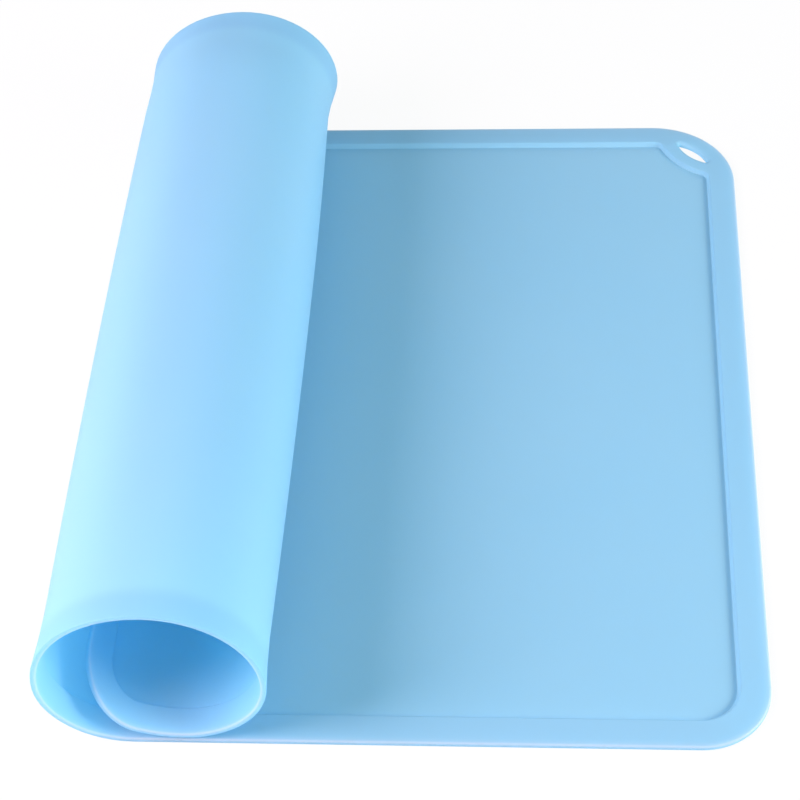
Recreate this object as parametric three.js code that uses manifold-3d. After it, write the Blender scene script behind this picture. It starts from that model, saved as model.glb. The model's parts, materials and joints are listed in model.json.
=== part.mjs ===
// A silicone pastry mat: one moulded sheet with a raised rim, a shallow field inside the rim and a
// lens-shaped hanging hole in one corner. The mat lies flat on the right and is rolled up on the left,
// with its working face inwards. Where it is rolled, the sheet is divided at its bend lines into strips,
// each hinged to the last along its underside, so that the roll can open out flat.
// Millimetres, +Z up, X along the mat, Y along the roll.
import * as THREE from "three";
import { mergeVertices } from "three/addons/utils/BufferGeometryUtils.js";
import Module from "manifold-3d";

// Sheet
const MAT_LENGTH = 609;
const MAT_WIDTH = 400;
const FIELD_THICKNESS = 1.2;
const RIM_THICKNESS = 3.4;
const RIM_WIDTH = 12.9;
const EDGE_ROUND = 0.9;
const CORNER_RADIUS = 31;

// Hanging corner, at the far right
const HANG_CORNER_RADIUS = 43;
const HANG_BOSS_RADIUS = 40.5;
const BOSS_FILLET = 5;
const HOLE_LENGTH = 21.5;
const HOLE_WIDTH = 7;
const HOLE_INSET = 21.2;

// Roll: four quarter turns and a tail, each given by the radius of its underside, then a straight end.
// The right side's quarters differ from the left's by the shift, so that the inner layer comes down
// beside the first bend and lies on the flat part.
const LOWER_LEFT_RADIUS = 38.5;
const UPPER_LEFT_RADIUS = 53;
const RIGHT_SIDE_SHIFT = 8.8;
const TAIL_RADIUS = 50;
const TAIL_DEGREES = 56.7;
const END_LENGTH = 2;
const QUARTER_BENDS = 8;
const TAIL_BENDS = 5;
const LAYER_CLEARANCE = 0.4;
const BEND_GAP = 0.3;

// Finish
const SILICONE_BLUE = 0x8fcaf0;
const CURVE_SEGMENTS = 10;
const EDGE_SEGMENTS = 3;

const HALF_WIDTH = MAT_WIDTH / 2;
const LAYER_PITCH = RIM_THICKNESS + LAYER_CLEARANCE;
const UPPER_RIGHT_RADIUS = LOWER_LEFT_RADIUS + RIGHT_SIDE_SHIFT;
const LOWER_RIGHT_RADIUS = UPPER_LEFT_RADIUS - RIGHT_SIDE_SHIFT - LAYER_PITCH;
// How far the tools that cut the sheet reach past it.
const CUT_MARGIN = 5;

// Each bend turns the sheet by its angle, about a line that lies its reach past where its arc begins.
function bendsOf(radius, turn, count) {
  const angle = turn / count;
  return new Array(count).fill({ angle, reach: radius * Math.tan(angle / 2) });
}

const BENDS = [
  ...bendsOf(LOWER_LEFT_RADIUS, Math.PI / 2, QUARTER_BENDS),
  ...bendsOf(UPPER_LEFT_RADIUS, Math.PI / 2, QUARTER_BENDS),
  ...bendsOf(UPPER_RIGHT_RADIUS, Math.PI / 2, QUARTER_BENDS),
  ...bendsOf(LOWER_RIGHT_RADIUS, Math.PI / 2, QUARTER_BENDS),
  ...bendsOf(TAIL_RADIUS, THREE.MathUtils.degToRad(TAIL_DEGREES), TAIL_BENDS),
];
const ROLLED_LENGTH = BENDS.reduce((sum, bend) => sum + 2 * bend.reach, END_LENGTH);

const wasm = await Module();
wasm.setup();

const silicone = new THREE.MeshStandardMaterial({ color: SILICONE_BLUE, roughness: 0.55, metalness: 0 });

function solidFrom(geometry) {
  const bare = geometry.clone();
  bare.deleteAttribute("normal");
  bare.deleteAttribute("uv");
  const merged = mergeVertices(bare, 1e-4);
  return new wasm.Manifold(
    new wasm.Mesh({
      numProp: 3,
      vertProperties: new Float32Array(merged.attributes.position.array),
      triVerts: new Uint32Array(merged.index.array),
    }),
  );
}

function geometryFrom(solid) {
  const mesh = solid.getMesh();
  const geometry = new THREE.BufferGeometry();
  geometry.setAttribute("position", new THREE.BufferAttribute(mesh.vertProperties, 3));
  geometry.setIndex(new THREE.BufferAttribute(mesh.triVerts, 1));
  geometry.computeVertexNormals();
  return geometry;
}

// The mat laid flat. X runs from the free end of the roll to the right edge, with 0 where the roll starts.
const LEFT = -ROLLED_LENGTH;
const RIGHT = MAT_LENGTH - ROLLED_LENGTH;
const NEAR = -HALF_WIDTH;
const FAR = HALF_WIDTH;

function outerOutline() {
  const outline = new THREE.Shape();
  outline.absarc(RIGHT - CORNER_RADIUS, NEAR + CORNER_RADIUS, CORNER_RADIUS, -Math.PI / 2, 0);
  outline.absarc(RIGHT - HANG_CORNER_RADIUS, FAR - HANG_CORNER_RADIUS, HANG_CORNER_RADIUS, 0, Math.PI / 2);
  outline.absarc(LEFT + CORNER_RADIUS, FAR - CORNER_RADIUS, CORNER_RADIUS, Math.PI / 2, Math.PI);
  outline.absarc(LEFT + CORNER_RADIUS, NEAR + CORNER_RADIUS, CORNER_RADIUS, Math.PI, 1.5 * Math.PI);
  return outline;
}

// The field's edge follows the rim, and goes round a boss that is centred on the hanging corner.
function fieldOutline() {
  const inner = CORNER_RADIUS - RIM_WIDTH;
  const right = RIGHT - RIM_WIDTH;
  const far = FAR - RIM_WIDTH;
  // Each fillet is tangent to the rim's straight edge and to the boss.
  const across = RIM_WIDTH + BOSS_FILLET;
  const along = Math.sqrt((HANG_BOSS_RADIUS + BOSS_FILLET) ** 2 - across ** 2);
  const tilt = Math.atan2(across, along);
  const outline = new THREE.Shape();
  outline.absarc(right - inner, NEAR + RIM_WIDTH + inner, inner, -Math.PI / 2, 0);
  outline.absarc(right - BOSS_FILLET, FAR - along, BOSS_FILLET, 0, Math.PI / 2 - tilt);
  outline.absarc(RIGHT, FAR, HANG_BOSS_RADIUS, 1.5 * Math.PI - tilt, Math.PI + tilt, true);
  outline.absarc(RIGHT - along, far - BOSS_FILLET, BOSS_FILLET, tilt, Math.PI / 2);
  outline.absarc(LEFT + RIM_WIDTH + inner, far - inner, inner, Math.PI / 2, Math.PI);
  outline.absarc(LEFT + RIM_WIDTH + inner, NEAR + RIM_WIDTH + inner, inner, Math.PI, 1.5 * Math.PI);
  return outline;
}

// Two equal arcs that meet in a point at each end, drawn along X.
function lensOutline(length, width) {
  const radius = (length ** 2 / width + width) / 4;
  const offset = radius - width / 2;
  const half = Math.asin(length / 2 / radius);
  const outline = new THREE.Shape();
  outline.absarc(0, -offset, radius, Math.PI / 2 - half, Math.PI / 2 + half);
  outline.absarc(0, offset, radius, 1.5 * Math.PI - half, 1.5 * Math.PI + half);
  return outline;
}

function flatMat() {
  const sheet = new THREE.ExtrudeGeometry(outerOutline(), {
    depth: RIM_THICKNESS - 2 * EDGE_ROUND,
    bevelThickness: EDGE_ROUND,
    bevelSize: EDGE_ROUND,
    bevelOffset: -EDGE_ROUND,
    bevelSegments: EDGE_SEGMENTS,
    curveSegments: CURVE_SEGMENTS,
  }).translate(0, 0, EDGE_ROUND);
  const field = new THREE.ExtrudeGeometry(fieldOutline(), {
    depth: RIM_THICKNESS - FIELD_THICKNESS + CUT_MARGIN,
    bevelEnabled: false,
    curveSegments: CURVE_SEGMENTS,
  }).translate(0, 0, FIELD_THICKNESS);
  const hole = new THREE.ExtrudeGeometry(lensOutline(HOLE_LENGTH, HOLE_WIDTH), {
    depth: RIM_THICKNESS + 2 * CUT_MARGIN,
    bevelEnabled: false,
    curveSegments: CURVE_SEGMENTS,
  })
    .rotateZ(-Math.PI / 4)
    .translate(RIGHT - HOLE_INSET, FAR - HOLE_INSET, -CUT_MARGIN);
  return solidFrom(sheet).subtract(solidFrom(field)).subtract(solidFrom(hole));
}

// The stretch of the flat mat between two bend lines. Each cut leans by half its bend's angle and stands
// half the gap back from the bend line, so that neighbours are parallel when rolled and never meet.
function stretch(mat, left, leftBend, right, rightBend) {
  const low = -CUT_MARGIN;
  const high = RIM_THICKNESS + CUT_MARGIN;
  const cutAt = (bend, z) => (BEND_GAP / 2 + z * Math.sin(bend / 2)) / Math.cos(bend / 2);
  const profile = new THREE.Shape([
    new THREE.Vector2(left + cutAt(leftBend, low), low),
    new THREE.Vector2(right - cutAt(rightBend, low), low),
    new THREE.Vector2(right - cutAt(rightBend, high), high),
    new THREE.Vector2(left + cutAt(leftBend, high), high),
  ]);
  const slab = new THREE.ExtrudeGeometry(profile, { depth: MAT_WIDTH + 2 * CUT_MARGIN, bevelEnabled: false })
    .rotateX(Math.PI / 2)
    .translate(0, HALF_WIDTH + CUT_MARGIN, 0);
  return mat.intersect(solidFrom(slab));
}

function buildMat() {
  const mat = flatMat();
  const placed = new THREE.Group();
  let carrier = placed;
  let carrierLine = 0;
  let line = -BENDS[0].reach;
  placed.add(named("flat_panel", stretch(mat, line, BENDS[0].angle, RIGHT + CUT_MARGIN, 0)));

  // Each hinge group sits on the underside of the strip before it and is turned by its bend.
  BENDS.forEach((bend, i) => {
    const next = BENDS[i + 1];
    const left = next ? line - bend.reach - next.reach : LEFT - CUT_MARGIN;
    const number = String(i + 1).padStart(2, "0");
    const hinge = new THREE.Group();
    hinge.name = `bend_${number}`;
    hinge.position.x = line - carrierLine;
    hinge.rotation.y = bend.angle;
    const strip = stretch(mat, left, next ? next.angle : 0, line, bend.angle).translate([-line, 0, 0]);
    hinge.add(named(next ? `roll_strip_${number}` : "free_end_strip", strip));
    carrier.add(hinge);
    carrier = hinge;
    carrierLine = line;
    line = left;
  });
  return placed;
}

function named(name, solid) {
  const mesh = new THREE.Mesh(geometryFrom(solid), silicone);
  mesh.name = name;
  return mesh;
}

// The origin is on the surface that the mat lies on, under the middle of the part-rolled mat.
const placed = buildMat();
const box = new THREE.Box3().setFromObject(placed, true);
placed.position.x = -(box.min.x + box.max.x) / 2;

const pastryMat = new THREE.Group();
pastryMat.name = "pastry_mat";
pastryMat.add(placed);

export default pastryMat;
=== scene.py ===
import functools
import json
import math

import bmesh
import bpy
import numpy as np
from mathutils import Matrix, Vector

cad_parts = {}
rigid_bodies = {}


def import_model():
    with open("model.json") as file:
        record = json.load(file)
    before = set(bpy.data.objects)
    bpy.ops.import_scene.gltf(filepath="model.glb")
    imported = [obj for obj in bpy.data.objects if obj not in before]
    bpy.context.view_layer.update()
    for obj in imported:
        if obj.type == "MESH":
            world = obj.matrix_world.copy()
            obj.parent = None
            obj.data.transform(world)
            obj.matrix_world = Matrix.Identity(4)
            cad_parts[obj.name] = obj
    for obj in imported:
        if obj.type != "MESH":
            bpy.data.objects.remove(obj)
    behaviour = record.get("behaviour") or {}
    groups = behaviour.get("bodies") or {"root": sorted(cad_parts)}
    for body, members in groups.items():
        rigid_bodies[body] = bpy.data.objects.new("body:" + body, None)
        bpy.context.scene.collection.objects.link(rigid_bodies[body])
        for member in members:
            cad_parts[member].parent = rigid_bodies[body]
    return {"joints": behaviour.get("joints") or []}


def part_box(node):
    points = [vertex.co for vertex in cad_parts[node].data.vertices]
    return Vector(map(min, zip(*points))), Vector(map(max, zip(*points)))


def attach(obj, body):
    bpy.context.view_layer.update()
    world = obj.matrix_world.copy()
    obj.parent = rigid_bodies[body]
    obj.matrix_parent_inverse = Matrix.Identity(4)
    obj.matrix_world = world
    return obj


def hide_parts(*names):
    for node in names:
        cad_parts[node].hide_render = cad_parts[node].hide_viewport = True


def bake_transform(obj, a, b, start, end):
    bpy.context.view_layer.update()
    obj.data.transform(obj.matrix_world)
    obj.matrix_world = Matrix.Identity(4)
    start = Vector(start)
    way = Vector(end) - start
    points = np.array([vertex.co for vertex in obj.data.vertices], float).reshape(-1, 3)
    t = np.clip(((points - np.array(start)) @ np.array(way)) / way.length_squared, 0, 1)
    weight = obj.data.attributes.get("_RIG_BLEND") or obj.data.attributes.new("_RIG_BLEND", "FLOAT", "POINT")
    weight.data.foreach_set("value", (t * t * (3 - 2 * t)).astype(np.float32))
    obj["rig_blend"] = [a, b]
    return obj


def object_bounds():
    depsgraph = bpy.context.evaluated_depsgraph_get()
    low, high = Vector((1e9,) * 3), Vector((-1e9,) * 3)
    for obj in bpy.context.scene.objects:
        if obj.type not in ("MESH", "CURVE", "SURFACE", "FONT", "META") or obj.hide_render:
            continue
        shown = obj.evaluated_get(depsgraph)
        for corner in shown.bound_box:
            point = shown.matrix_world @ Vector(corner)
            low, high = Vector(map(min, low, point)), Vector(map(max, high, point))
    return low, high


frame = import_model()
CAD_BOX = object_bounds()

bl_info = {
    "name": "Part-rolled pastry mat",
    "version": (1, 0, 0),
    "blender": (4, 5, 0),
    "location": "View3D > Sidebar > Pastry mat",
    "description": "Builds a silicone pastry mat that is rolled up at one end, with its studio",
    "category": "Object",
}

# The bends of the roll, in order from the flat part to the free end.
BENDS = frame["joints"]
FLAT_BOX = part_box("flat_panel")
MM = 0.001


def length(name, default, description):
    """A size in metres that a user can change."""
    return bpy.props.FloatProperty(
        name=name, default=default, description=description, min=0.0, unit="LENGTH", precision=5
    )


def share(name, default, description, top=1.0):
    """A plain number that a user can change."""
    return bpy.props.FloatProperty(
        name=name, default=default, description=description, min=0.0, max=top, subtype="FACTOR"
    )


def colour(name, default, description):
    """A colour that a user can change."""
    return bpy.props.FloatVectorProperty(
        name=name, default=default, description=description, size=3, min=0.0, max=1.0, subtype="COLOR"
    )


def power(name, default, description):
    """A lamp's power that a user can change."""
    return bpy.props.FloatProperty(
        name=name, default=default, description=description, min=0.0, unit="POWER"
    )


class MatSheet(bpy.types.PropertyGroup):
    """Sizes of the moulded sheet as it lies flat."""

    mat_length: length("Mat length", 609 * MM, "Length of the mat laid flat")
    rim_thickness: length("Rim thickness", FLAT_BOX[1][2], "Thickness of the raised rim")
    field_thickness: length("Field thickness", 1.9 * MM, "Thickness of the middle of the field")
    groove: length("Groove", 1.0 * MM, "How far the field falls away beside the rim")
    rim_width: length("Rim width", 13.5 * MM, "Width of the rim, from the edge to the field")
    corner_radius: length("Corner radius", 31 * MM, "Radius of the three plain corners")
    hang_corner_radius: length("Hanging corner radius", 43 * MM, "Radius of the corner with the hole")
    boss_radius: length("Boss radius", 40.5 * MM, "Reach of the hanging boss from the square corner")
    boss_fillet: length("Boss fillet", 5 * MM, "Radius where the boss runs into the rim")
    hole_length: length("Hole length", 20 * MM, "Length of the lens-shaped hole")
    hole_width: length("Hole width", 5.4 * MM, "Width of the lens-shaped hole")
    hole_lip: length("Hole lip", 2.75 * MM, "Width of the rounded lip round the hole")
    hole_inset: length("Hole inset", 21.2 * MM, "Distance of the hole's centre from both edges")
    hole_tip_radius: length("Hole tip radius", 0.7 * MM, "Radius of the hole's two tips")
    edge_low: length("Lower edge radius", 0.5 * MM, "Radius of the outer edge next to the underside")
    edge_round: length("Upper edge radius", 1.0 * MM, "Radius of the outer edge next to the rim's top")
    # The pale band along the outer edge is a painted highlight.
    edge_fade: length("Pale edge", 3.6 * MM, "Width of the pale band along the outer edge")
    rim_crown: length("Rim crown", 0.8 * MM, "How far the rim's top falls away towards the edge")


class MatRoll(bpy.types.PropertyGroup):
    """How the rolled part departs from a plain spiral."""

    waist: length("Waist", 1.6 * MM, "How far the roll draws in just inside its two rims")
    far_waist: length("Far waist", 3.4 * MM, "How far it draws in on the right side of its far end")
    rim_band: length("Rim band", 26 * MM, "Width of the band in which each rim stands out again")
    droop: length("Droop", 6.8 * MM, "How far the top of the roll sinks at its far end")
    droop_width: length("Droop width", 46 * MM, "Length of the roll over which its far end sinks")


class SiliconeFinish(bpy.types.PropertyGroup):
    """Colour and surface of the silicone."""

    tint: colour("Silicone", (0.52, 0.87, 0.975), "Colour of the silicone")
    cloud_tint: colour("Clouding", (0.54, 0.88, 0.975), "Colour of the faint paler clouds")
    rim_tint: colour("Thick silicone", (0.455, 0.765, 0.91), "Colour where the rim makes it thick")
    # Painted highlight along the rounded outer edge, where the edge catches the light.
    edge_highlight_tint: colour("Painted edge highlight", (0.86, 0.96, 1.0), "Colour along the rounded outer edge")
    glow_tint: colour("Glow", (0.38, 0.79, 0.98), "Colour of the light that shines through the silicone")
    glow: share("Glow share", 0.5, "Share of the light that shines through the silicone")
    dust_tint: colour("Dust", (0.62, 0.78, 0.90), "Colour of the few specks of dust on the silicone")
    roughness: share("Roughness", 0.46, "Mean roughness of the moulded surface")
    sheen: share("Sheen", 0.22, "Strength of the dusty sheen at grazing angles")
    grain: share("Grain", 0.12, "Strength of the fine moulded grain")


class StudioLight(bpy.types.PropertyGroup):
    """Floor and light of the studio."""

    floor_tint: colour("Floor", (0.95, 0.95, 0.95), "Colour of the floor")
    sky_tint: colour("Sky", (0.75, 0.92, 1.0), "Colour of the light from all round")
    sky: share("Sky strength", 0.40, "Strength of the light from all round", 4.0)
    left_tint: colour("Left softbox colour", (1.0, 0.79, 0.88), "Colour of the softbox on the left")
    left_box: power("Left softbox", 14.2, "Power of the softbox on the left")
    right_box: power("Right softbox", 14.7, "Power of the softbox on the right")
    top_box: power("Top softbox", 0.6, "Power of the softbox overhead")


# Flat layout of the sheet. Its X is 0 where the roll starts, and runs to the right edge.


def bend_reaches():
    """Distance from each bend line to where its arc starts and ends."""
    lines = [Vector(bend["pos_m"]) for bend in BENDS]
    steps = [(b - a).length for a, b in zip(lines, lines[1:])]
    reaches = [steps[0] / 2]
    for step in steps:
        reaches.append(step - reaches[-1])
    return reaches


REACHES = bend_reaches()
ROLL_START = BENDS[0]["pos_m"][0] + REACHES[0]
RIGHT = FLAT_BOX[1][0] - ROLL_START
FAR = FLAT_BOX[1][1]
NEAR = FLAT_BOX[0][1]


def arc_points(centre, radius, start, end, steps):
    """Points along an arc, from start to end in degrees."""
    angles = np.radians(np.linspace(start, end, steps + 1))
    return [(centre[0] + radius * math.cos(a), centre[1] + radius * math.sin(a)) for a in angles]


# Steps along a corner, a boss fillet, the boss, a tip of the hole and a side of the hole.
CORNER_STEPS = 18
FILLET_STEPS = 10
BOSS_STEPS = 22
TIP_STEPS = 3
LENS_STEPS = 16
# The boss fillet shrinks with the inset, down to this radius.
LEAST_FILLET = 0.3 * MM


def sheet_left(sheet):
    """Flat X of the free end."""
    return RIGHT - sheet.mat_length


def plain_corner(sheet, inset, x_side, y_side, start):
    """Arc of one plain corner, inset from the sheet's edge."""
    radius = sheet.corner_radius
    x = RIGHT - radius if x_side > 0 else sheet_left(sheet) + radius
    y = FAR - radius if y_side > 0 else NEAR + radius
    return arc_points((x, y), radius - inset, start, start + 90, CORNER_STEPS)


def edge_corners(sheet, inset):
    """The four corner arcs of the sheet's edge: near right, hanging, far left and near left."""
    radius = sheet.hang_corner_radius
    hanging = arc_points((RIGHT - radius, FAR - radius), radius - inset, 0, 90, CORNER_STEPS)
    return [
        plain_corner(sheet, inset, 1, -1, -90),
        hanging,
        plain_corner(sheet, inset, -1, 1, 90),
        plain_corner(sheet, inset, -1, -1, 180),
    ]


def field_corners(sheet, inset):
    """The four corners of the field's edge, in the same order. The field goes round the hanging boss."""
    fillet = max(sheet.boss_fillet - inset, LEAST_FILLET)
    across = sheet.rim_width + inset + fillet
    along = math.sqrt((sheet.boss_radius + inset + fillet) ** 2 - across**2)
    tilt = math.degrees(math.atan2(across, along))
    boss = arc_points((RIGHT - across, FAR - along), fillet, 0, 90 - tilt, FILLET_STEPS)
    round_boss = arc_points((RIGHT, FAR), sheet.boss_radius + inset, 270 - tilt, 180 + tilt, BOSS_STEPS)
    boss += round_boss[1:-1]
    boss += arc_points((RIGHT - along, FAR - across), fillet, tilt, 90, FILLET_STEPS)
    rim = sheet.rim_width + inset
    return [
        plain_corner(sheet, rim, 1, -1, -90),
        boss,
        plain_corner(sheet, rim, -1, 1, 90),
        plain_corner(sheet, rim, -1, -1, 180),
    ]


def hole_halves(sheet, offset):
    """The hanging hole's edge: the half next to the field and the half next to the corner.
    The first runs from the right tip to the left one, and the second back. Offset widens the hole."""
    round_by = sheet.hole_tip_radius
    long = sheet.hole_length - 2 * round_by
    wide = sheet.hole_width - 2 * round_by
    radius = (long**2 / wide + wide) / 4
    half = math.degrees(math.asin(long / 2 / radius))
    centre = Vector((RIGHT - sheet.hole_inset, FAR - sheet.hole_inset))
    grown = round_by + offset
    halves = []
    for turn in (0, 180):
        side = Vector((0, radius - wide / 2))
        points = arc_points((0, 0), grown, 0, half - 90, TIP_STEPS)
        points = [(x + long / 2, y) for x, y in points]
        points += arc_points(side, radius + grown, half - 90, -90 - half, LENS_STEPS)
        points += [(-x, y) for x, y in reversed(points[: TIP_STEPS + 1])]
        halves.append([centre + Matrix.Rotation(math.radians(turn - 45), 2) @ Vector(p) for p in points])
    return halves


def rim_top(sheet, inset):
    """Height of the rim's top, which falls away towards the outer edge."""
    rise = (inset - sheet.edge_round) / (sheet.rim_width - sheet.edge_round)
    return sheet.rim_thickness - sheet.rim_crown * (1 - min(max(rise, 0), 1))


def crowned(sheet, x, y):
    """Height of the rim's top at a flat point of the hanging corner."""
    radius = sheet.hang_corner_radius
    across = max(x - (RIGHT - radius), 0)
    along = max(y - (FAR - radius), 0)
    return rim_top(sheet, radius - math.hypot(across, along))


# Painted highlight along the outer edge: palest along its upper corner, faint on its side, none on its lower
# corner, and fading out across the rim's top.
HIGHLIGHT_SIDE = 0.1
HIGHLIGHT_TOP = 0.35
LOWER_EDGE_DEGREES = (90, 65, 40, 18, 0)
UPPER_EDGE_LOOPS = 7
HIGHLIGHT_BAND_SHARES = (0.3, 0.65, 1.0)


def edge_profile(sheet):
    """Inset, height and painted highlight of each loop round the edge, from the underside to the rim's top.
    """
    low = sheet.edge_low
    profile = []
    for angle in np.radians(LOWER_EDGE_DEGREES):
        profile.append((low * (1 - math.cos(angle)), low * (1 - math.sin(angle)), 0))
    high = sheet.rim_thickness - sheet.rim_crown - sheet.edge_round
    profile.append((0, (low + high) / 2, HIGHLIGHT_SIDE))
    for angle in np.radians(np.linspace(0, 90, UPPER_EDGE_LOOPS)):
        inset = sheet.edge_round * (1 - math.cos(angle))
        pale = HIGHLIGHT_TOP + (1 - HIGHLIGHT_TOP) * math.sin(2 * angle)
        profile.append((inset, high + sheet.edge_round * math.sin(angle), pale))
    for share_of_band in HIGHLIGHT_BAND_SHARES:
        inset = sheet.edge_round + share_of_band * (sheet.edge_fade - sheet.edge_round)
        profile.append((inset, rim_top(sheet, inset), HIGHLIGHT_TOP * (1 - share_of_band) ** 2))
    return profile


# The rim's inner wall, in millimetres: insets and drops below the rim's top round its upper corner,
# inset and rise of the lower corner above the foot, and inset of the foot.
WALL_CORNER = ((-1.0, 0), (-0.6, 0.06), (-0.28, 0.22), (-0.08, 0.46), (0, 0.8))
WALL_LOW = (0.8, 0.25)
WALL_FOOT = 1.0
# Loops across the groove, in millimetres, and the distance in which it gets shallower e-fold.
GROOVE_LOOPS = (1.5, 2.1, 2.8, 3.6, 4.7, 6.0, 7.7, 9.8)
GROOVE_EASE = 2.6
GROOVE_END = 12.4


def wall_profile(sheet):
    """Inset and height of each loop from the rim's top, down its inner wall and out of the groove."""
    foot = sheet.field_thickness - sheet.groove
    profile = [(inset * MM, sheet.rim_thickness - drop * MM) for inset, drop in WALL_CORNER]
    profile += [(WALL_LOW[0] * MM, foot + WALL_LOW[1] * MM), (WALL_FOOT * MM, foot)]
    for inset in GROOVE_LOOPS:
        fall = math.exp((WALL_FOOT - inset) / GROOVE_EASE)
        profile.append((inset * MM, sheet.field_thickness - sheet.groove * fall))
    return profile + [(GROOVE_END * MM, sheet.field_thickness)]


# The hole's lip ends at this height, above a wall that flares a little at the underside.
LIP_FOOT = 0.7 * MM
LIP_LOOPS = 9
HOLE_FLARE = ((0, 0.5 * MM), (0.15 * MM, 0.12 * MM), (0.5 * MM, 0))


def hole_profile(sheet):
    """Offset and height of each loop down the hanging hole's wall."""
    rise = sheet.rim_thickness - LIP_FOOT
    profile = []
    for angle in np.radians(np.linspace(90, 0, LIP_LOOPS)):
        profile.append((sheet.hole_lip * (1 - math.cos(angle)), LIP_FOOT + rise * math.sin(angle)))
    return profile + list(HOLE_FLARE)


# Points closer than this are one point; after the cuts, so are those closer than a sliver.
SAME_POINT = 1e-6
SLIVER = 0.02 * MM


class SheetMaker:
    """Collects the loops of the flat sheet and the faces between them."""

    def __init__(self):
        self.bm = bmesh.new()
        # Share of the painted edge highlight at each vertex.
        self.pale = self.bm.verts.layers.float.new("edge_highlight_share")

    def loop(self, points, height, pale):
        """A loop of vertices at one height."""
        verts = [self.bm.verts.new((p[0], p[1], height)) for p in points]
        for v in verts:
            v[self.pale] = pale
        return verts

    def lip(self, sheet, points, height):
        """A loop round the hole, lowered where the rim's top falls away."""
        share = height / sheet.rim_thickness
        return [self.bm.verts.new((x, y, share * crowned(sheet, x, y))) for x, y in points]

    def corners(self, corners, height, pale=0.0):
        """A loop for each of the four corners, in order round the sheet."""
        return [self.loop(points, height, pale) for points in corners]

    def face(self, *verts):
        self.bm.faces.new(verts)

    def ring(self, lower, upper):
        """Quads from one closed loop to the next one inwards or upwards."""
        for i in range(len(lower)):
            j = (i + 1) % len(lower)
            self.face(lower[i], lower[j], upper[j], upper[i])


def joined(corners):
    """The corners' vertices as one closed loop."""
    return [v for corner in corners for v in corner]


def moulded_sheet(sheet):
    """The whole mat, laid flat, as one closed mesh."""
    maker = SheetMaker()
    edge = [maker.corners(edge_corners(sheet, inset), z, pale) for inset, z, pale in edge_profile(sheet)]
    wall = [maker.corners(field_corners(sheet, inset), z) for inset, z in wall_profile(sheet)]
    hole = [[maker.lip(sheet, h, z) for h in hole_halves(sheet, out)] for out, z in hole_profile(sheet)]
    for lower, upper in list(zip(edge, edge[1:])) + list(zip(wall, wall[1:])):
        maker.ring(joined(lower), joined(upper))
    for upper, lower in zip(hole, hole[1:]):
        maker.ring(joined(lower), joined(upper))
    # The top of the rim: three plain corners, four straight sides, and the boss in two halves.
    outer = edge[-1]
    inner = wall[0]
    for c in (0, 2, 3):
        for i in range(CORNER_STEPS):
            maker.face(outer[c][i], outer[c][i + 1], inner[c][i + 1], inner[c][i])
    for c in range(4):
        d = (c + 1) % 4
        maker.face(outer[c][-1], outer[d][0], inner[d][0], inner[c][-1])
    near_half, far_half = hole[0]
    maker.face(*outer[1], *far_half)
    maker.face(outer[1][0], *near_half, outer[1][-1], *reversed(inner[1]))
    # The field, and the underside in two halves.
    maker.face(*joined(wall[-1]))
    near_half, far_half = hole[-1]
    under = edge[0]
    maker.face(*reversed(far_half), *reversed(under[1]))
    rest = under[2] + under[3] + under[0]
    maker.face(*reversed(near_half), under[1][0], *reversed(rest), under[1][-1])
    bmesh.ops.remove_doubles(maker.bm, verts=maker.bm.verts[:], dist=SAME_POINT)
    return maker.bm


def arc_ends():
    """Flat X of each arc's start, and of the last arc's end."""
    ends = [0.0]
    for reach in REACHES:
        ends.append(ends[-1] - 2 * reach)
    return ends


def arc_joints():
    """Where each arc of the plain spiral meets the next, on its underside."""
    spots = [(ROLL_START, 0.0, 0.0)]
    turned = 0.0
    for reach, bend in zip(REACHES, BENDS):
        turned += math.radians(bend["range_deg"][1])
        x, _, z = bend["pos_m"]
        spots.append((x - reach * math.cos(turned), 0.0, z + reach * math.sin(turned)))
    return spots


# Lines of the loose grid across the flat part and along the roll.
FLAT_STEPS = 20
CROSS_STEPS = 26


def cut_lines(bm):
    """Cuts the flat sheet along its bend lines and arc ends, and on a loose grid elsewhere."""
    ends = arc_ends()
    along = ends + [(a + b) / 2 for a, b in zip(ends, ends[1:])]
    along += list(np.linspace(0, RIGHT, FLAT_STEPS + 2)[1:-1])
    across = list(np.linspace(NEAR, FAR, CROSS_STEPS + 2)[1:-1])
    cuts = [((x, 0, 0), (1, 0, 0)) for x in along] + [((0, y, 0), (0, 1, 0)) for y in across]
    for point, normal in cuts:
        geometry = bm.verts[:] + bm.edges[:] + bm.faces[:]
        bmesh.ops.bisect_plane(bm, geom=geometry, dist=SAME_POINT, plane_co=point, plane_no=normal)
    bmesh.ops.remove_doubles(bm, verts=bm.verts[:], dist=SLIVER)


def smooth(low, high, value):
    """Smooth step from 0 at low to 1 at high."""
    t = np.clip((value - low) / (high - low), 0, 1)
    return t * t * (3 - 2 * t)


# Distances along the sheet from where the roll starts, in metres: where the outer turn starts and stops
# drawing in, and where the far waist of its right side sets in.
DRAW_START = (0.010, 0.075)
DRAW_STOP = (0.235, 0.285)
FAR_WAIST_START = (0.120, 0.190)


def drawn_in(roll, flat):
    """How far each point of the rolled part lies inside the plain spiral."""
    x = -flat[:, 0]
    y = flat[:, 1]
    outer_turn = smooth(*DRAW_START, x) * (1 - smooth(*DRAW_STOP, x))
    half = (FAR - NEAR) / 2
    rim = smooth(half - roll.rim_band, half, np.abs(y))
    right_side = smooth(*FAR_WAIST_START, x) * smooth(0, half, y)
    waist = roll.waist + (roll.far_waist - roll.waist) * right_side
    return outer_turn * waist * (y / half) ** 2 * (1 - rim)


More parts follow.
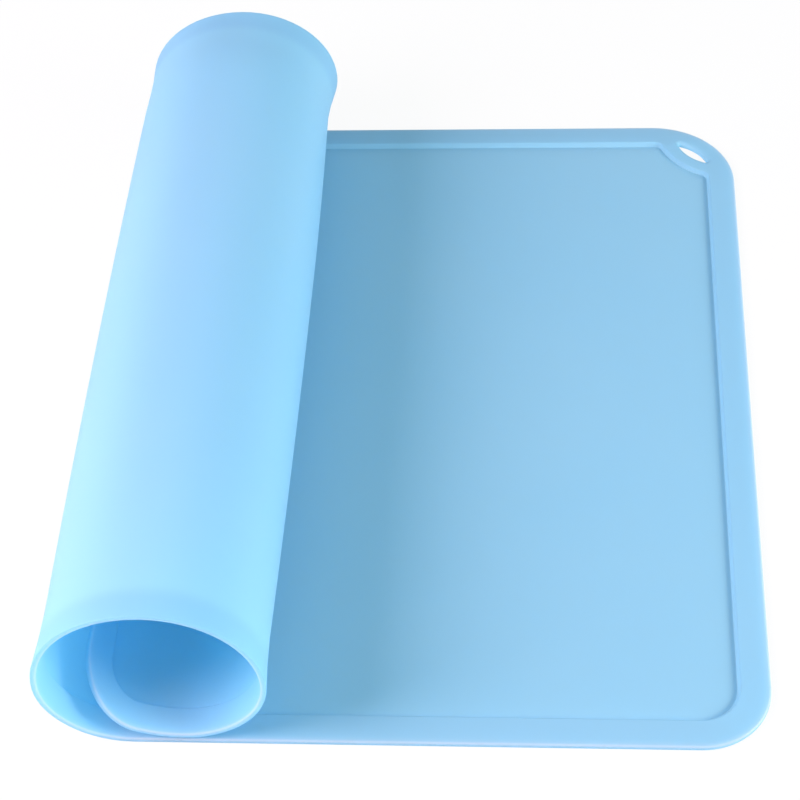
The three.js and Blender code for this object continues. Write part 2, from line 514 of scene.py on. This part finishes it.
def rolled_up(roll, flat):
    """Moves the points of the flat sheet to where they lie on the part-rolled mat."""
    ends = np.array(arc_ends())
    x = flat[:, 0]
    height = flat[:, 2] + drawn_in(roll, flat)
    placed = np.stack([ROLL_START + x, flat[:, 1], flat[:, 2]], 1)
    corner = np.array([ROLL_START, 0.0])
    turned = 0.0
    for i, bend in enumerate(BENDS):
        angle = math.radians(bend["range_deg"][1])
        radius = REACHES[i] / math.tan(angle / 2)
        last = i == len(BENDS) - 1
        here = (x < ends[i] + 1e-9) & ((x > ends[i + 1]) | last)
        part = np.clip((ends[i] - x[here]) / (2 * REACHES[i]), 0, 1)
        beyond = np.clip(ends[i + 1] - x[here], 0, None)
        heading = turned + part * angle
        forward = np.stack([-np.cos(heading), np.sin(heading)], 1)
        inward = np.stack([np.sin(heading), np.cos(heading)], 1)
        centre = corner + radius * np.array([math.sin(turned), math.cos(turned)])
        spot = centre - (radius - height[here])[:, None] * inward + beyond[:, None] * forward
        placed[here, 0] = spot[:, 0]
        placed[here, 2] = spot[:, 1]
        turned += angle
        corner = centre - radius * np.array([math.sin(turned), math.cos(turned)])
    # The far end sinks under its own weight, most at the top.
    sunk = roll.droop * smooth(FAR - roll.droop_width, FAR, flat[:, 1]) * (x < 0)
    placed[:, 2] -= sunk * placed[:, 2] / CAD_BOX[1][2]
    return placed


def whole_mat():
    """Flat places, rolled places, normals, painted edge highlight and faces of the whole mat."""
    scene = bpy.context.scene
    bm = moulded_sheet(scene.mat_sheet)
    cut_lines(bm)
    bm.verts.index_update()
    flat = np.array([v.co for v in bm.verts])
    layer = bm.verts.layers.float["edge_highlight_share"]
    pale = np.array([v[layer] for v in bm.verts])
    faces = [[v.index for v in f.verts] for f in bm.faces]
    placed = rolled_up(scene.mat_roll, flat)
    for v, co in zip(bm.verts, placed):
        v.co = co
    # Larger faces count for more, so that flat stretches stay flat up to their rounded edges.
    normals = np.zeros_like(placed)
    for face in bm.faces:
        face.normal_update()
        weight = np.array(face.normal) * face.calc_area()
        for v in face.verts:
            normals[v.index] += weight
    normals /= np.linalg.norm(normals, axis=1)[:, None]
    bm.free()
    return flat, placed, normals, pale, faces


def take_piece(mat, name, low, high):
    """A new object from the faces of the mat that lie between two flat values of X."""
    flat, placed, normals, pale, faces = mat
    middle = [flat[f, 0].mean() for f in faces]
    taken = [f for f, x in zip(faces, middle) if low < x < high]
    used = sorted({v for f in taken for v in f})
    renumbered = {v: i for i, v in enumerate(used)}
    mesh = bpy.data.meshes.new(name)
    mesh.from_pydata(placed[used].tolist(), [], [[renumbered[v] for v in f] for f in taken])
    place = mesh.attributes.new("sheet_place", "FLOAT_VECTOR", "POINT")
    place.data.foreach_set("vector", flat[used].astype(np.float32).ravel())
    edge = mesh.attributes.new("edge_highlight_share", "FLOAT", "POINT")
    edge.data.foreach_set("value", pale[used].astype(np.float32))
    mesh.shade_smooth()
    mesh.normals_split_custom_set_from_vertices(normals[used].tolist())
    mesh.materials.append(silicone_material())
    piece = bpy.data.objects.new(name, mesh)
    bpy.context.collection.objects.link(piece)
    return piece


# Silicone. The effects that the materials share are node groups.


def new_group(name, inputs, outputs):
    """An empty shader node group with its sockets, and its input and output nodes."""
    group = bpy.data.node_groups.new(name, "ShaderNodeTree")
    for label, kind, value in inputs:
        socket = group.interface.new_socket(label, in_out="INPUT", socket_type=kind)
        if value is not None:
            socket.default_value = value
    for label, kind in outputs:
        group.interface.new_socket(label, in_out="OUTPUT", socket_type=kind)
    return group, group.nodes.new("NodeGroupInput"), group.nodes.new("NodeGroupOutput")


def noise(tree, vector, scale, detail, roughness=0.5):
    """Noise from 0 to 1, with its scale in features per metre."""
    node = tree.nodes.new("ShaderNodeTexNoise")
    node.inputs["Scale"].default_value = scale
    node.inputs["Detail"].default_value = detail
    node.inputs["Roughness"].default_value = roughness
    tree.links.new(vector, node.inputs["Vector"])
    return node.outputs["Fac"]


def ranged(tree, value, low, high, to_low, to_high):
    """The value, taken smoothly from one range to another."""
    node = tree.nodes.new("ShaderNodeMapRange")
    node.interpolation_type = "SMOOTHSTEP"
    for socket, number in zip(node.inputs[1:5], (low, high, to_low, to_high)):
        socket.default_value = number
    tree.links.new(value, node.inputs["Value"])
    return node.outputs["Result"]


def sums(tree, operation, a, b):
    """A sum of two sockets or plain numbers."""
    node = tree.nodes.new("ShaderNodeMath")
    node.operation = operation
    for socket, value in zip(node.inputs, (a, b)):
        if isinstance(value, (int, float)):
            socket.default_value = value
        else:
            tree.links.new(value, socket)
    return node.outputs[0]


def mixed(tree, factor, a, b):
    """A mix of two colours, from a at factor 0 to b at 1."""
    node = tree.nodes.new("ShaderNodeMix")
    node.data_type = "RGBA"
    tree.links.new(factor, node.inputs["Factor"])
    for socket, value in ((node.inputs[6], a), (node.inputs[7], b)):
        if isinstance(value, bpy.types.NodeSocket):
            tree.links.new(value, socket)
        else:
            socket.default_value = value
    return node.outputs[2]


# Scales of the fine grain, the soft grain and the polished patches, in features per metre.
FINE_SCALE = 2600
SOFT_SCALE = 420
PATCH_SCALE = 14
FINE_SHARE = 0.55
# How far the patches and the speckle change the roughness, either way.
PATCH_SPREAD = 0.05
SPECKLE_SPREAD = 0.03


def moulded_grain_group():
    """The fine grain that the mould leaves, and the way that handling polishes it in patches."""
    group, source, result = new_group(
        "Moulded grain",
        [("Place", "NodeSocketVector", None), ("Roughness", "NodeSocketFloat", 0.5)],
        [("Height", "NodeSocketFloat"), ("Roughness", "NodeSocketFloat")],
    )
    place = source.outputs["Place"]
    fine = noise(group, place, FINE_SCALE, 2)
    soft = noise(group, place, SOFT_SCALE, 3)
    fine_part = sums(group, "MULTIPLY", fine, FINE_SHARE)
    height = sums(group, "ADD", fine_part, sums(group, "MULTIPLY", soft, 1 - FINE_SHARE))
    polish = noise(group, place, PATCH_SCALE, 4, 0.6)
    patches = ranged(group, polish, 0.3, 0.7, -PATCH_SPREAD, PATCH_SPREAD)
    speckle = ranged(group, fine, 0.3, 0.7, -SPECKLE_SPREAD, SPECKLE_SPREAD)
    spread = sums(group, "ADD", patches, speckle)
    group.links.new(height, result.inputs["Height"])
    group.links.new(sums(group, "ADD", source.outputs["Roughness"], spread), result.inputs["Roughness"])
    return group


# The rim looks less thick from above than on the outside of the roll.
TOP_SHARE = 0.3
# Half the width in which the thick look of the underside fades out at the field's edge.
BAND_FADE = 4 * MM
# Heights between which the thick look of the underside gives way to that of the top.
UNDERSIDE = (0.3 * MM, 0.7 * MM)
# How far above the field, and below the rim's top, the top's thick look sets in and is full.
RAISED_MARGINS = (0.2 * MM, 0.4 * MM)


def rim_share_group(sheet):
    """How thick the rim makes the silicone look, from 1 on its underside to 0 over the field."""
    group, source, result = new_group(
        "Rim share",
        [("Place", "NodeSocketVector", None)],
        [("Share", "NodeSocketFloat")],
    )
    split = group.nodes.new("ShaderNodeSeparateXYZ")
    group.links.new(source.outputs["Place"], split.inputs["Vector"])
    x, y, z = split.outputs
    from_sides = [
        sums(group, "SUBTRACT", x, sheet_left(sheet)),
        sums(group, "SUBTRACT", RIGHT, x),
        sums(group, "SUBTRACT", y, NEAR),
        sums(group, "SUBTRACT", FAR, y),
    ]
    inset = functools.reduce(lambda a, b: sums(group, "MINIMUM", a, b), from_sides)
    band = ranged(group, inset, sheet.rim_width - BAND_FADE, sheet.rim_width + BAND_FADE, 1.0, 0.0)
    below = ranged(group, z, *UNDERSIDE, 1.0, TOP_SHARE)
    bottom = sheet.field_thickness + RAISED_MARGINS[0]
    top = sheet.rim_thickness - RAISED_MARGINS[1]
    raised = ranged(group, z, bottom, top, 0.0, TOP_SHARE)
    share_of_rim = sums(group, "MAXIMUM", raised, sums(group, "MULTIPLY", band, below))
    group.links.new(share_of_rim, result.inputs["Share"])
    return group


CLOUD_SCALE = 9
# Specks of dust: cells per metre, the speck's edge as a share of its cell, and which cells have one.
SPECK_SCALE = 46
SPECK_EDGE = (0.012, 0.03)
SPECK_CELLS = (0.93, 0.95)
SPECK_STRENGTH = 0.55


def silicone_tint_group():
    """The silicone's colours, faintly clouded, with a painted highlight along the outer edge and a few
    specks of the dust that silicone draws.
    """
    group, source, result = new_group(
        "Silicone tint",
        [
            ("Place", "NodeSocketVector", None),
            ("Silicone", "NodeSocketColor", None),
            ("Clouding", "NodeSocketColor", None),
            ("Thick", "NodeSocketColor", None),
            ("Rim", "NodeSocketFloat", 0.0),
            ("Edge highlight", "NodeSocketColor", None),
            ("Edge", "NodeSocketFloat", 0.0),
            ("Dust", "NodeSocketColor", None),
        ],
        [("Colour", "NodeSocketColor")],
    )
    place = source.outputs["Place"]
    clouds = ranged(group, noise(group, place, CLOUD_SCALE, 3, 0.55), 0.35, 0.7, 0.0, 1.0)
    body = mixed(group, clouds, source.outputs["Silicone"], source.outputs["Clouding"])
    body = mixed(group, source.outputs["Rim"], body, source.outputs["Thick"])
    # Painted highlight along the rounded outer edge.
    body = mixed(group, source.outputs["Edge"], body, source.outputs["Edge highlight"])
    cells = group.nodes.new("ShaderNodeTexVoronoi")
    cells.inputs["Scale"].default_value = SPECK_SCALE
    group.links.new(place, cells.inputs["Vector"])
    near_centre = ranged(group, cells.outputs["Distance"], *SPECK_EDGE, 1.0, 0.0)
    split = group.nodes.new("ShaderNodeSeparateColor")
    group.links.new(cells.outputs["Color"], split.inputs["Color"])
    few = ranged(group, split.outputs["Red"], *SPECK_CELLS, 0.0, SPECK_STRENGTH)
    specks = sums(group, "MULTIPLY", near_centre, few)
    group.links.new(mixed(group, specks, body, source.outputs["Dust"]), result.inputs["Colour"])
    return group


def placed_group(tree, group):
    """A node that uses a node group."""
    node = tree.nodes.new("ShaderNodeGroup")
    node.node_tree = group
    return node


def opaque(tint):
    """The colour with full alpha, as colour sockets take it."""
    return (*tint, 1.0)


SILICONE_IOR = 1.41
SHEEN_ROUGHNESS = 0.4
GRAIN_DEPTH = 0.04 * MM


def silicone_material():
    """Satin light-blue silicone. Its pattern follows the sheet round the roll."""
    name = "Light-blue silicone"
    if name in bpy.data.materials:
        return bpy.data.materials[name]
    finish = bpy.context.scene.silicone_finish
    material = bpy.data.materials.new(name)
    material.use_nodes = True
    tree = material.node_tree
    shader = tree.nodes["Principled BSDF"]
    place = tree.nodes.new("ShaderNodeAttribute")
    place.attribute_name = "sheet_place"
    tint = placed_group(tree, silicone_tint_group())
    tint.inputs["Silicone"].default_value = opaque(finish.tint)
    tint.inputs["Clouding"].default_value = opaque(finish.cloud_tint)
    tint.inputs["Thick"].default_value = opaque(finish.rim_tint)
    tint.inputs["Edge highlight"].default_value = opaque(finish.edge_highlight_tint)
    tint.inputs["Dust"].default_value = opaque(finish.dust_tint)
    # Share of the painted highlight along the outer edge.
    edge = tree.nodes.new("ShaderNodeAttribute")
    edge.attribute_name = "edge_highlight_share"
    tree.links.new(edge.outputs["Fac"], tint.inputs["Edge"])
    rim = placed_group(tree, rim_share_group(bpy.context.scene.mat_sheet))
    grain = placed_group(tree, moulded_grain_group())
    grain.inputs["Roughness"].default_value = finish.roughness
    bump = tree.nodes.new("ShaderNodeBump")
    bump.inputs["Strength"].default_value = finish.grain
    bump.inputs["Distance"].default_value = GRAIN_DEPTH
    for group in (tint, grain, rim):
        tree.links.new(place.outputs["Vector"], group.inputs["Place"])
    tree.links.new(rim.outputs["Share"], tint.inputs["Rim"])
    tree.links.new(tint.outputs["Colour"], shader.inputs["Base Color"])
    tree.links.new(grain.outputs["Roughness"], shader.inputs["Roughness"])
    tree.links.new(grain.outputs["Height"], bump.inputs["Height"])
    tree.links.new(bump.outputs["Normal"], shader.inputs["Normal"])
    shader.inputs["IOR"].default_value = SILICONE_IOR
    shader.inputs["Sheen Weight"].default_value = finish.sheen
    shader.inputs["Sheen Roughness"].default_value = SHEEN_ROUGHNESS
    glow = tree.nodes.new("ShaderNodeBsdfTranslucent")
    glow.inputs["Color"].default_value = opaque(finish.glow_tint)
    through = tree.nodes.new("ShaderNodeMixShader")
    through.inputs["Fac"].default_value = finish.glow
    tree.links.new(shader.outputs["BSDF"], through.inputs[1])
    tree.links.new(glow.outputs["BSDF"], through.inputs[2])
    tree.links.new(through.outputs["Shader"], tree.nodes["Material Output"].inputs["Surface"])
    return material


# Studio. The floor is this much plain white where it is seen directly, and the rest is its own shading.
FLOOR_WHITE = 0.92
FLOOR_ROUGHNESS = 0.9
# Half the floor's side in metres, and how far it lies below the mat.
FLOOR_REACH = 6.0
FLOOR_DROP = 0.05 * MM


def seen_directly(tree):
    """1 for what is seen by the camera, mirrored or through a clear piece, and 0 for scattered light."""
    path = tree.nodes.new("ShaderNodeLightPath")
    clear = sums(tree, "SUBTRACT", path.outputs["Is Transmission Ray"], path.outputs["Is Diffuse Ray"])
    mirrored = sums(tree, "MAXIMUM", path.outputs["Is Glossy Ray"], clear)
    return sums(tree, "MAXIMUM", path.outputs["Is Camera Ray"], mirrored)


def floor_material(tint):
    """White floor that keeps the mat's shadow. Seen directly it is mostly plain white."""
    material = bpy.data.materials.new("Studio floor")
    material.use_nodes = True
    tree = material.node_tree
    shader = tree.nodes["Principled BSDF"]
    shader.inputs["Base Color"].default_value = opaque(tint)
    shader.inputs["Roughness"].default_value = FLOOR_ROUGHNESS
    shader.inputs["Specular IOR Level"].default_value = 0.0
    white = tree.nodes.new("ShaderNodeEmission")
    mix = tree.nodes.new("ShaderNodeMixShader")
    tree.links.new(sums(tree, "MULTIPLY", seen_directly(tree), FLOOR_WHITE), mix.inputs["Fac"])
    tree.links.new(shader.outputs["BSDF"], mix.inputs[1])
    tree.links.new(white.outputs["Emission"], mix.inputs[2])
    tree.links.new(mix.outputs["Shader"], tree.nodes["Material Output"].inputs["Surface"])
    return material


def add_floor(tint):
    """A square floor just under the mat."""
    mesh = bpy.data.meshes.new("studio_floor")
    corners = [(-1, -1), (1, -1), (1, 1), (-1, 1)]
    spots = [(x * FLOOR_REACH, y * FLOOR_REACH, -FLOOR_DROP) for x, y in corners]
    mesh.from_pydata(spots, [], [(0, 1, 2, 3)])
    mesh.materials.append(floor_material(tint))
    floor = bpy.data.objects.new("studio_floor", mesh)
    bpy.context.collection.objects.link(floor)


def add_lamp(name, place, aim, size, power, tint=(1, 1, 1)):
    """A round softbox at a place in metres, turned towards its aim."""
    lamp = bpy.data.lights.new(name, "AREA")
    lamp.shape = "DISK"
    lamp.size = size
    lamp.energy = power
    lamp.color = tint
    holder = bpy.data.objects.new(name, lamp)
    holder.location = place
    holder.rotation_euler = (Vector(aim) - Vector(place)).to_track_quat("-Z", "Y").to_euler()
    bpy.context.collection.objects.link(holder)


def add_sky(tint, strength):
    """Soft light from all round, and plain white where the studio is seen past the floor."""
    world = bpy.data.worlds.new("Studio")
    bpy.context.scene.world = world
    world.use_nodes = True
    tree = world.node_tree
    seen = seen_directly(tree)
    level = tree.nodes.new("ShaderNodeMapRange")
    level.inputs["To Min"].default_value = strength
    tree.links.new(seen, level.inputs["Value"])
    back = tree.nodes["Background"]
    tree.links.new(mixed(tree, seen, opaque(tint), (1, 1, 1, 1)), back.inputs["Color"])
    tree.links.new(level.outputs["Result"], back.inputs["Strength"])


# Camera found from the mat's straight edges and the roll: place in metres, then angles in degrees.
CAMERA_PLACE = (0.0689, -0.7065, 0.7833)
CAMERA_DOWN = 47.745
CAMERA_YAW = 6.676
CAMERA_ROLL = -4.794
# Focal length and sensor width in millimetres.
CAMERA_LENS = 96.75
CAMERA_SENSOR = 36


def add_camera():
    """The camera that took the photograph, as nearly as it can be told."""
    down, yaw, roll = (math.radians(a) for a in (CAMERA_DOWN, CAMERA_YAW, CAMERA_ROLL))
    forward = Vector((-math.sin(yaw) * math.cos(down), math.cos(yaw) * math.cos(down), -math.sin(down)))
    level = Vector((math.cos(yaw), math.sin(yaw), 0))
    above = level.cross(forward)
    right = math.cos(roll) * level + math.sin(roll) * above
    up = -math.sin(roll) * level + math.cos(roll) * above
    data = bpy.data.cameras.new("camera")
    data.lens = CAMERA_LENS
    data.sensor_width = CAMERA_SENSOR
    camera = bpy.data.objects.new("camera", data)
    turn = Matrix((right, up, -forward)).transposed()
    camera.matrix_world = Matrix.Translation(CAMERA_PLACE) @ turn.to_4x4()
    bpy.context.collection.objects.link(camera)
    bpy.context.scene.camera = camera


# A flat X that is past either end of the mat.
BEYOND = 1.0


class PASTRYMAT_OT_flat_part(bpy.types.Operator):
    """Lay the flat part of the mat, with its rim, its field and the hanging hole"""

    bl_idname = "pastry_mat.flat_part"
    bl_label = "Flat part"

    def execute(self, context):
        piece = take_piece(whole_mat(), "flat_part", 0, BEYOND)
        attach(piece, "flat_panel")
        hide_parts("flat_panel")
        return {"FINISHED"}


class PASTRYMAT_OT_rolled_part(bpy.types.Operator):
    """Roll up the rest of the mat, bend by bend, to its free end"""

    bl_idname = "pastry_mat.rolled_part"
    bl_label = "Rolled part"

    def execute(self, context):
        mat = whole_mat()
        ends = arc_ends()
        spots = arc_joints()
        for i, bend in enumerate(BENDS):
            last = i == len(BENDS) - 1
            low = -BEYOND if last else ends[i + 1]
            piece = take_piece(mat, f"rolled_part_{i + 1:02d}", low, ends[i])
            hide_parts(bend["child"])
            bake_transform(piece, bend["parent"], bend["child"], start=spots[i], end=spots[i + 1])
        return {"FINISHED"}


# Place, aim and size of each softbox, in metres.
LEFT_SOFTBOX = ((-0.85, -0.32, 0.66), (-0.05, 0, 0.03), 0.7)
RIGHT_SOFTBOX = ((1.16, -0.38, 0.38), (0.05, 0, 0), 0.6)
TOP_SOFTBOX = ((-0.25, -0.4, 1.2), (0.05, 0, 0), 0.6)


class PASTRYMAT_OT_stage(bpy.types.Operator):
    """Set up the white floor, the soft lights and the camera"""

    bl_idname = "pastry_mat.stage"
    bl_label = "Studio"

    def execute(self, context):
        studio = context.scene.studio_light
        context.scene.view_settings.view_transform = "Standard"
        add_floor(studio.floor_tint)
        add_lamp("left_softbox", *LEFT_SOFTBOX, studio.left_box, studio.left_tint)
        add_lamp("right_softbox", *RIGHT_SOFTBOX, studio.right_box)
        add_lamp("top_softbox", *TOP_SOFTBOX, studio.top_box)
        add_sky(studio.sky_tint, studio.sky)
        add_camera()
        return {"FINISHED"}


class PASTRYMAT_PT_panel(bpy.types.Panel):
    """Sizes and colours of the mat, and the buttons that build it"""

    bl_idname = "PASTRYMAT_PT_panel"
    bl_label = "Pastry mat"
    bl_space_type = "VIEW_3D"
    bl_region_type = "UI"
    bl_category = "Pastry mat"

    def draw(self, context):
        scene = context.scene
        for group in (scene.mat_sheet, scene.mat_roll, scene.silicone_finish, scene.studio_light):
            box = self.layout.box()
            for name in group.__annotations__:
                box.prop(group, name)
        for operator in OPERATORS:
            self.layout.operator(operator.bl_idname)


GROUPS = {
    "mat_sheet": MatSheet,
    "mat_roll": MatRoll,
    "silicone_finish": SiliconeFinish,
    "studio_light": StudioLight,
}
OPERATORS = [PASTRYMAT_OT_flat_part, PASTRYMAT_OT_rolled_part, PASTRYMAT_OT_stage]


def register():
    for name, group in GROUPS.items():
        bpy.utils.register_class(group)
        setattr(bpy.types.Scene, name, bpy.props.PointerProperty(type=group))
    for cls in [*OPERATORS, PASTRYMAT_PT_panel]:
        bpy.utils.register_class(cls)


def unregister():
    for cls in [PASTRYMAT_PT_panel, *reversed(OPERATORS)]:
        bpy.utils.unregister_class(cls)
    for name, group in reversed(GROUPS.items()):
        delattr(bpy.types.Scene, name)
        bpy.utils.unregister_class(group)


def main():
    register()
    bpy.ops.pastry_mat.stage()
    bpy.ops.pastry_mat.flat_part()
    bpy.ops.pastry_mat.rolled_part()


if __name__ == "__main__":
    main()
